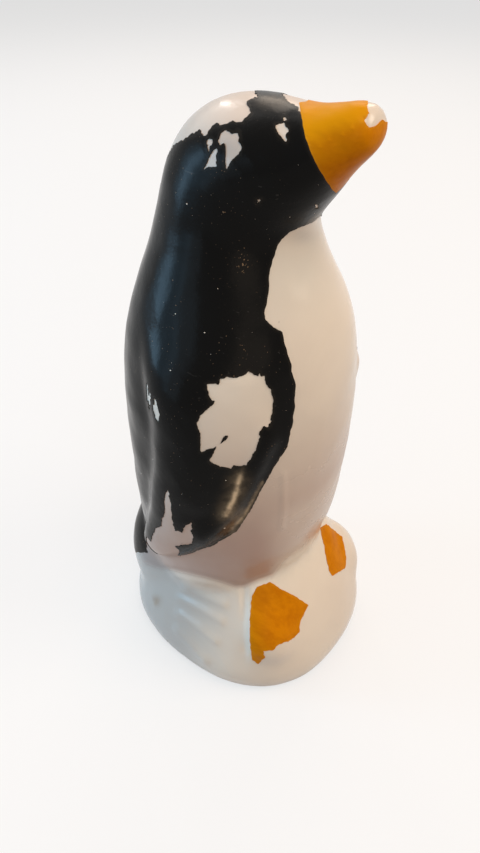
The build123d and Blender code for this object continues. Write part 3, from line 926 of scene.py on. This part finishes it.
class Skin:
    """The glazed surface as points, triangles and normals, made once and shared by glaze and paint."""

    made = None

    def __init__(self, sizes):
        rough = bpy.data.objects.new("skin_source", cad_copy("biscuit_body", "white_glaze"))
        bpy.context.scene.collection.objects.link(rough)
        remesh = rough.modifiers.new("even mesh", "REMESH")
        remesh.mode, remesh.voxel_size = "VOXEL", sizes.mesh_step
        baked(rough)
        points, faces = mesh_arrays(rough.data)
        bpy.data.objects.remove(rough)
        edges, _ = edges_of(faces)
        for _ in range(ROUND_PASSES):
            points = points + ROUND_PULL * (neighbour_means(points, edges) - points)
            points = points - ROUND_PUSH * (neighbour_means(points, edges) - points)
        for _ in range(SOFT_PASSES):
            points = points + SOFT_PULL * (neighbour_means(points, edges) - points)
        normals = point_normals(points, faces)
        bend = np.sum((neighbour_means(points, edges) - points) * normals, 1)
        for _ in range(BEND_PASSES):
            bend = neighbour_means(bend[:, None], edges)[:, 0]
        even = FLAT_PULL * (1 - ease(np.abs(bend), *FLAT_BEND))[:, None]
        for _ in range(FLAT_PASSES):
            points = points + even * (neighbour_means(points, edges) - points)
        points = self.outside_casting(points + normals * self.relief(points, normals, sizes)[:, None])
        points, faces, used, _ = cut_patch(points, faces, points[:, 2] - sizes.bare_band / MM)
        self.points, self.faces = points, faces
        self.normals = point_normals(points, faces)
        self.bend = np.append(bend, np.zeros(used.max() + 1))[used]

    @staticmethod
    def outside_casting(points):
        """Keeps every point a little outside the CAD casting."""
        form = bmesh.new()
        form.from_mesh(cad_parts["biscuit_body"].data)
        casting = BVHTree.FromBMesh(form)
        form.free()
        for i, point in enumerate(points):
            near, normal, _, _ = casting.find_nearest(point * MM)
            height = (Vector(point) - near / MM).dot(normal)
            if height < CLEARANCE and point[2] > CLEAR_FLOOR:
                points[i] = np.array(near) / MM + np.array(normal) * CLEARANCE
        return points

    @staticmethod
    def relief(points, normals, sizes):
        """The wing's rolled edge, the mound's flutes and grooves, and the unevenness of hand work."""
        side, facing = right_side(points, normals)
        pixels, _, square = seen(side, facing)
        u, v = pixels.T
        z = side[:, 2]
        flutes = sizes.flute_depth / MM * np.max([bank(pixels, line, FLUTE_WIDTH) for line in FLUTES], 0)
        groove = GROOVE_DEPTH * bank(pixels, FOOT_GROOVE, GROOVE_WIDTH)
        foot = FOOT_SWELL * ease(u, *FOOT_LEFT) * (1 - ease(u, *FOOT_RIGHT))
        foot *= ease(v, *FOOT_TOP) * (1 - ease(v, *FOOT_BOTTOM))
        mound = (flutes - groove + foot) * (1 - ease(z, *MOUND_RELIEF_FADE))
        crease = CREASE_DEPTH * bank(pixels, MOUND_CREASE, CREASE_WIDTH) * (1 - ease(z, *CREASE_FADE))
        roll = ROLL_HEIGHT * bank(pixels, WING_ROLL, ROLL_WIDTH) * (z > ROLL_FLOOR)
        run = RUN_HEIGHT * bank(pixels, GLAZE_RUN, RUN_WIDTH) * (points[:, 0] < 0) * (z > RUN_FLOOR)
        shown = ease(square, *RELIEF_SEEN)
        return shown * (mound - crease + roll + run) + unevenness(points, CASTING_RIPPLES)


def skin():
    """The shared glazed surface."""
    if Skin.made is None:
        Skin.made = Skin(bpy.context.scene.figurine_glaze)
    return Skin.made


class PaintedSkin:
    """The glazed surface with a finer mesh along the edges of the paint, and each coat's field on it."""

    made = None

    def __init__(self):
        base = skin()
        points, faces, normals = base.points, base.faces, base.normals
        for near in FINE_BANDS:
            closest = np.min(np.abs(list(paint_fields(points, normals).values())), 0)
            closest = np.where(sheen_and_wear(points, normals) > FINE_SHEEN_WEAR, 0.0, closest)
            points, faces, normals = split_near(points, faces, normals, (closest < near)[faces].any(1))
        self.points, self.faces, self.normals = points, faces, normals
        self.fields = paint_fields(points, normals)


def painted_skin():
    """The shared painted surface."""
    if PaintedSkin.made is None:
        PaintedSkin.made = PaintedSkin()
    return PaintedSkin.made


def new_tree(name, inputs, output):
    """An empty geometry tree with its named sockets; gives the tree, its sheet and a wire from each input."""
    tree = bpy.data.node_groups.new(name, "GeometryNodeTree")
    for socket, kind in inputs.items():
        tree.interface.new_socket(socket, in_out="INPUT", socket_type="NodeSocket" + kind)
    tree.interface.new_socket(output, in_out="OUTPUT", socket_type="NodeSocketGeometry")
    sheet = Sheet(tree, "GeometryNode")
    group = sheet.node("NodeGroupInput")
    return tree, sheet, [group.other(socket) for socket in inputs]


def end_tree(sheet, shape, finish):
    """Realizes a tree's shape, gives it its finish and puts it out."""
    solid = sheet.node("RealizeInstances", None, {"Geometry": shape})
    done = sheet.node("SetMaterial", None, {"Geometry": solid, "Material": finish})
    sheet.node("NodeGroupOutput", None, {0: done})


def film_tree():
    """Node tree that turns a patch of surface into a closed film on it."""
    tree = bpy.data.node_groups.get("coat_film")
    if tree:
        return tree
    inputs = {"Patch": "Geometry", "Lift": "Float", "Thickness": "Float", "Finish": "Material"}
    tree, sheet, (patch, lift, thickness, finish) = new_tree("coat_film", inputs, "Film")
    out = sheet.node("InputNormal")
    low = sheet.node("ShaderNodeVectorMath", {"operation": "SCALE"}, {0: out, "Scale": lift - thickness})
    floor = sheet.node("SetPosition", None, {"Geometry": patch, "Offset": low})
    raised = {"Mesh": floor, "Offset Scale": thickness, "Individual": False}
    top = sheet.node("ExtrudeMesh", {"mode": "FACES"}, raised)
    under = sheet.node("FlipFaces", None, {"Mesh": floor})
    both = sheet.node("JoinGeometry", None, {0: [top, under]})
    merged = sheet.node("MergeByDistance", None, {"Geometry": both, "Distance": MERGE_DISTANCE})
    angle = sheet.node("InputMeshEdgeAngle")
    limit = math.radians(SMOOTH_ANGLE)
    soft = sheet.node("FunctionNodeCompare", {"operation": "LESS_THAN"}, {0: angle, 1: limit})
    smooth = sheet.node("SetShadeSmooth", {"domain": "FACE"}, {"Geometry": merged, "Shade Smooth": True})
    crisp = sheet.node("SetShadeSmooth", {"domain": "EDGE"}, {"Geometry": smooth, "Shade Smooth": soft})
    end_tree(sheet, crisp, finish)
    return tree


def run_tree(thing, tree, values):
    """Runs a node tree on an object with its inputs set, and keeps the result as a plain mesh."""
    modifier = thing.modifiers.new(tree.name, "NODES")
    modifier.node_group = tree
    for item in tree.interface.items_tree:
        if item.item_type == "SOCKET" and item.in_out == "INPUT" and item.name in values:
            modifier[item.identifier] = values[item.name]
    return baked(thing)


def place_piece(piece, slot, *nodes):
    """Hangs a finished piece on the part's body."""
    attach(piece, "root")
    if nodes:
        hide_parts(*nodes)


def material(name, build, sizes):
    """A material made once."""
    return bpy.data.materials.get(name) or build(sizes)


def coat_piece(name, finish, slot):
    """One coat of paint as a film over the glaze, in place of its CAD node."""
    base = painted_skin()
    points, faces, used, at_edge = cut_patch(base.points, base.faces, base.fields[name])
    if not len(faces):
        raise RuntimeError(f"{name} came out empty")
    depth = np.append(base.fields[name], np.zeros(used.max() + 1))[used]
    piece = new_object(name + "_paint", points, faces)
    give(piece.data, "edge", 1 - ease(np.where(at_edge, 0, depth), *EDGE_WEAR))
    outward = point_normals(points, faces)
    # Painted highlights and sheen on the black paint, and the rubbed chin
    give(piece.data, "rub", sheen_and_wear(points, outward))
    spread = DUST_SPREAD * spot(points, outward, DUST_SPOT, DUST_SPREAD_WIDTH)
    give(piece.data, "dusty", np.maximum(spot(points, outward, DUST_SPOT, DUST_WIDTH), spread))
    # Painted light on the beak's upward faces
    give(piece.data, "faded", ease(outward[:, 2], *LIT_TOP_LEVEL) * (points[:, 2] > LIT_TOP_FLOOR))
    sizes = bpy.context.scene.figurine_paint
    run_tree(piece, film_tree(), {"Lift": sizes.film, "Thickness": PAINT_SUNK * sizes.film, "Finish": finish})
    place_piece(piece, slot, name)


class FIGURINE_OT_glaze(bpy.types.Operator):
    """Lays the white glaze over the casting"""

    bl_idname = "figurine.glaze"
    bl_label = "White Glaze"

    def execute(self, context):
        sizes = context.scene.figurine_glaze
        base = skin()
        piece = new_object("white_glaze_coat", base.points, base.faces)
        x, y, z = base.points.T
        # Darker towards the foot, and painted shade in the creases where the surface bends inward
        foot_darkening = FOOT_DARKENING * (1 - ease(z, *FOOT_DARKENING_Z))
        crease_shade = np.clip(base.bend * CREASE_GAIN - CREASE_FROM, 0, 1)
        give(piece.data, "crease", np.maximum(crease_shade, foot_darkening))
        # Painted shade low on the belly, stopping at the mound's crease and paler at the front, and a darker
        # tone on the crown
        pixels, _, _ = seen(*right_side(base.points, base.normals))
        above = ease(inside(pixels, MOUND_CREASE + BODY_TOP), -CREASE_BLUR, CREASE_BLUR)
        body = np.maximum(above * ease(z, *BELLY_ABOVE_CREASE_Z), ease(z, *BELLY_ABOVE_MOUND_Z))
        belly = (1 - ease(z, *BELLY_Z)) * body
        belly *= 1 - FRONT_PALER * ease(-y, *FRONT_Y) * (1 - ease(z, *FRONT_Z))
        crown = CROWN_TONE * ease(z, *CROWN_Z) * ease(y, *CROWN_Y)
        give(piece.data, "toning", np.clip(belly + crown, 0, 1))
        # Painted shade on the mound's right side, at the temple and under the chin
        mound = MOUND_SHADE * ease(-x, *MOUND_X) * ease(y, *MOUND_Y) * (1 - ease(z, *MOUND_Z))
        temple = TEMPLE_SHADING * spot(base.points, base.normals, TEMPLE_SHADE, TEMPLE_SHADE_WIDTH)
        chin = CHIN_SHADING * spot(base.points, base.normals, CHIN_SHADE, CHIN_SHADE_WIDTH)
        give(piece.data, "greying", mound + temple + chin)
        give(piece.data, "soiled", spot(base.points, base.normals, MOUND_STAIN, MOUND_STAIN_WIDTH))
        finish = material("white_glaze", glaze_material, sizes)
        run_tree(piece, film_tree(), {"Lift": 0.0, "Thickness": sizes.thickness, "Finish": finish})
        place_piece(piece, "glaze", "white_glaze")
        return {"FINISHED"}


class FIGURINE_OT_clay(bpy.types.Operator):
    """Finishes the bare clay of the casting"""

    bl_idname = "figurine.clay"
    bl_label = "Bare Clay"

    def execute(self, context):
        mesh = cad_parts["biscuit_body"].data
        mesh.materials.clear()
        mesh.materials.append(material("bare_clay", clay_material, context.scene.figurine_glaze))
        return {"FINISHED"}


class FIGURINE_OT_black_paint(bpy.types.Operator):
    """Lays the flaking black paint over the glaze"""

    bl_idname = "figurine.black_paint"
    bl_label = "Black Paint"

    def execute(self, context):
        finish = material("black_enamel", black_material, context.scene.figurine_paint)
        coat_piece("black_coat", finish, "black_paint")
        coat_piece("black_flakes", finish, "black_paint")
        return {"FINISHED"}


class FIGURINE_OT_orange_paint(bpy.types.Operator):
    """Lays the orange paint over beak and feet"""

    bl_idname = "figurine.orange_paint"
    bl_label = "Orange Paint"

    def execute(self, context):
        finish = material("orange_enamel", orange_material, context.scene.figurine_paint)
        for name in ("beak_coat", "right_foot_coat", "left_foot_coat"):
            coat_piece(name, finish, "orange_paint")
        return {"FINISHED"}


def speck_tree():
    """Node tree that scatters small round pinholes over a painted surface."""
    inputs = {"Paint": "Geometry", "Density": "Float", "Size": "Float", "Seed": "Int", "Finish": "Material"}
    tree, sheet, (paint, density, size, seed, finish) = new_tree("pinholes", inputs, "Pinholes")
    worn = sheet.node("InputNamedAttribute", {"data_type": "FLOAT"}, {"Name": "edge"})
    clear = sheet.node("FunctionNodeCompare", {"operation": "LESS_THAN"}, {0: worn, 1: PINHOLE_WEAR})
    scatter = {"Mesh": paint, "Selection": clear, "Density": density, "Seed": seed}
    spots = sheet.node("DistributePointsOnFaces", None, scatter)
    fleck = sheet.node("MeshCone", {"fill_type": "TRIANGLE_FAN"}, PINHOLE_CONE)
    chance = {2: 0.0, 3: 1.0, "Seed": seed}
    big = sheet.node("FunctionNodeRandomValue", {"data_type": "FLOAT"}, chance, output=1)
    rare = sheet.node("ShaderNodeMath", {"operation": "POWER"}, {0: big, 1: PINHOLE_POWER})
    scale = (rare * (1 - PINHOLE_LEAST) + PINHOLE_LEAST) * size
    wide = sheet.node("ShaderNodeCombineXYZ", None, {0: scale, 1: scale * PINHOLE_NARROW, 2: scale})
    placed = {"Points": spots, "Instance": fleck, "Rotation": spots.other("Rotation"), "Scale": wide}
    end_tree(sheet, sheet.node("InstanceOnPoints", None, placed), finish)
    return tree


class FIGURINE_OT_pinholes(bpy.types.Operator):
    """Scatters pinholes over the black paint, where the glaze shows"""

    bl_idname = "figurine.pinholes"
    bl_label = "Pinholes"

    def execute(self, context):
        sizes = context.scene.figurine_paint
        paint = bpy.data.objects["black_coat_paint"]
        piece = bpy.data.objects.new("paint_pinholes", paint.data.copy())
        context.scene.collection.objects.link(piece)
        finish = bpy.data.materials["white_glaze"]
        values = {
            "Density": float(sizes.speck_count),
            "Size": sizes.speck_size,
            "Seed": PINHOLE_SEED,
            "Finish": finish,
        }
        run_tree(piece, speck_tree(), values)
        place_piece(piece, "glaze")
        return {"FINISHED"}


def shown_rays(sheet):
    """1 for rays that show the backdrop: the camera's, and those that gloss or clear surfaces send on."""
    camera = sheet.node("LightPath")
    glossy, through = camera.other("Is Glossy Ray"), camera.other("Is Transmission Ray")
    return sheet.node("Math", {"operation": "ADD", "use_clamp": True}, {0: camera + glossy, 1: through})


def soft_box(name, place, width, height, power, colour):
    """A rectangular lamp that faces the figure."""
    lamp = bpy.data.lights.new(name, "AREA")
    lamp.shape, lamp.size, lamp.size_y = "RECTANGLE", width, height
    lamp.energy, lamp.color = power, colour
    thing = bpy.data.objects.new(name, lamp)
    thing.location = place
    thing.rotation_euler = (Vector(LAMP_TARGET) - Vector(place)).to_track_quat("-Z", "Y").to_euler()
    bpy.context.scene.collection.objects.link(thing)


class FIGURINE_OT_stage(bpy.types.Operator):
    """Sets the floor, the lamps and the camera"""

    bl_idname = "figurine.stage"
    bl_label = "Stage"

    def execute(self, context):
        scene = context.scene
        self.floor()
        self.light(scene)
        self.camera(scene)
        scene.view_settings.view_transform = "Standard"
        return {"FINISHED"}

    def floor(self):
        """A flat pale floor that fills the view."""
        form = bmesh.new()
        bmesh.ops.create_grid(form, x_segments=2, y_segments=2, size=FLOOR_HALF)
        mesh = bpy.data.meshes.new("pale_floor")
        form.to_mesh(mesh)
        form.free()
        floor = bpy.data.objects.new("pale_floor", mesh)
        bpy.context.scene.collection.objects.link(floor)

        def build(sheet):
            pale = sheet.node("BsdfDiffuse", None, {"Color": rgba(FLOOR_PALE)})
            white = sheet.node("Emission", None, {"Color": rgba(WHITE), "Strength": 1.0})
            backdrop = sheet.node("MixShader", None, {0: BACKDROP_SHARE, 1: pale, 2: white})
            table = sheet.node("BsdfDiffuse", None, {"Color": rgba(TABLE_BROWN)})
            return sheet.node("MixShader", None, {0: shown_rays(sheet), 1: table, 2: backdrop})

        mesh.materials.append(finish_material("pale_floor", build))

    def light(self, scene):
        """A cool window behind on the left, soft lamps in front, behind and above."""
        world = bpy.data.worlds.new("studio")
        scene.world = world
        world.use_nodes = True
        world.node_tree.nodes.clear()
        sheet = Sheet(world.node_tree, "ShaderNode")
        dim = sheet.node("Background", None, {"Color": rgba(ROOM_COLOUR), "Strength": ROOM_LIGHT})
        pale = sheet.node("Background", None, {"Color": rgba(WHITE), "Strength": ROOM_SHOWN})
        seen_world = sheet.node("MixShader", None, {0: shown_rays(sheet), 1: dim, 2: pale})
        sheet.node("ShaderNodeOutputWorld", None, {"Surface": seen_world})
        for lamp in LAMPS:
            soft_box(*lamp)

    def camera(self, scene):
        """The photograph's camera."""
        place, right, up, ahead = photo_camera()
        lens = bpy.data.cameras.new("photo_camera")
        lens.sensor_fit, lens.sensor_width = "AUTO", SENSOR
        lens.lens = SENSOR * FOCAL_PIXELS / FRAME_HEIGHT
        lens.clip_start, lens.clip_end = CLIP_START, CLIP_END
        thing = bpy.data.objects.new("photo_camera", lens)
        turn = np.eye(4)
        turn[:3, 0], turn[:3, 1], turn[:3, 2], turn[:3, 3] = right, up, -ahead, place * MM
        thing.matrix_world = Matrix(turn.tolist())
        scene.collection.objects.link(thing)
        scene.camera = thing


class FIGURINE_PT_panel(bpy.types.Panel):
    """Lists the figurine's pieces and their sizes"""

    bl_idname = "FIGURINE_PT_panel"
    bl_label = "Penguin Figurine"
    bl_space_type = "VIEW_3D"
    bl_region_type = "UI"
    bl_category = "Figurine"

    def draw(self, context):
        for group in (context.scene.figurine_glaze, context.scene.figurine_paint):
            for name in group.__annotations__:
                self.layout.prop(group, name)
        for operator in OPERATORS:
            self.layout.operator(operator.bl_idname)


OPERATORS = (
    FIGURINE_OT_clay,
    FIGURINE_OT_glaze,
    FIGURINE_OT_black_paint,
    FIGURINE_OT_orange_paint,
    FIGURINE_OT_pinholes,
    FIGURINE_OT_stage,
)
CLASSES = (GlazeSizes, PaintSizes, *OPERATORS, FIGURINE_PT_panel)


def register():
    for item in CLASSES:
        bpy.utils.register_class(item)
    bpy.types.Scene.figurine_glaze = PointerProperty(type=GlazeSizes)
    bpy.types.Scene.figurine_paint = PointerProperty(type=PaintSizes)


def unregister():
    del bpy.types.Scene.figurine_glaze
    del bpy.types.Scene.figurine_paint
    for item in reversed(CLASSES):
        bpy.utils.unregister_class(item)


def main():
    """Makes every piece and the stage."""
    register()
    bpy.ops.figurine.clay()
    bpy.ops.figurine.glaze()
    bpy.ops.figurine.black_paint()
    bpy.ops.figurine.orange_paint()
    bpy.ops.figurine.pinholes()
    bpy.ops.figurine.stage()


if __name__ == "__main__":
    main()
